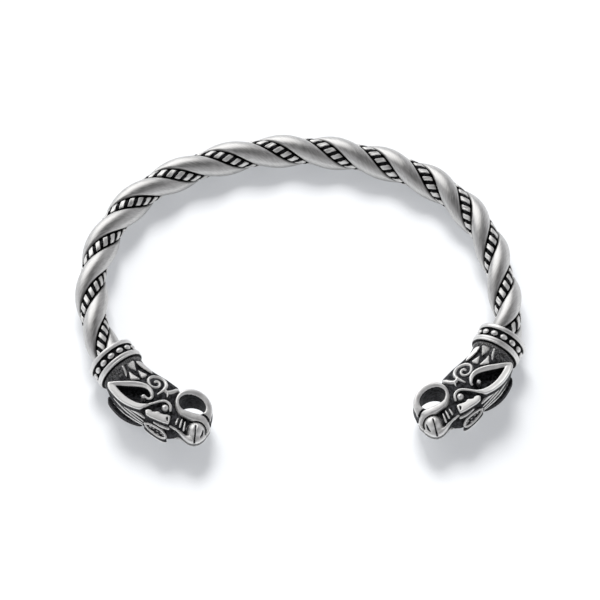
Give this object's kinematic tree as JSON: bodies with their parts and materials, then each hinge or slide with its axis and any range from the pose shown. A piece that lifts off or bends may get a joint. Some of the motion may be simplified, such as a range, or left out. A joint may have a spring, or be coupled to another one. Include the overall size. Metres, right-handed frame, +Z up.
{
  "type": "arm ring",
  "caption": "Open arm ring of twisted smooth and roped wire, with beaded collars and dragon-head ends that face each other.",
  "frame": {"origin": "on the surface that the ring rests on, under the middle of the wrist opening", "axes": "+Z up, out of the ring's upper face; -Y points out through the gap between the heads; +X runs across the ring's width, to the right as seen from the gap"},
  "size_m": [0.0784, 0.0606, 0.0091],
  "materials": {
    "smooth_strand": "stainless steel, satin polish with fine brushed grain along the twist",
    "rope_wire": "stainless steel blackened in the recesses, bright on the crests of the rope pattern",
    "collar": "stainless steel, bright rims and beads over a blackened groove",
    "head": "cast stainless steel, bright raised relief over blackened recesses"
  },
  "bodies": {
    "root": {"smooth_strand_a": "smooth_strand", "smooth_strand_b": "smooth_strand", "rope_wire_a": "rope_wire", "rope_wire_b": "rope_wire", "collar_left": "collar", "collar_right": "collar", "head_left": "head", "head_right": "head"}
  },
  "joints": []
}
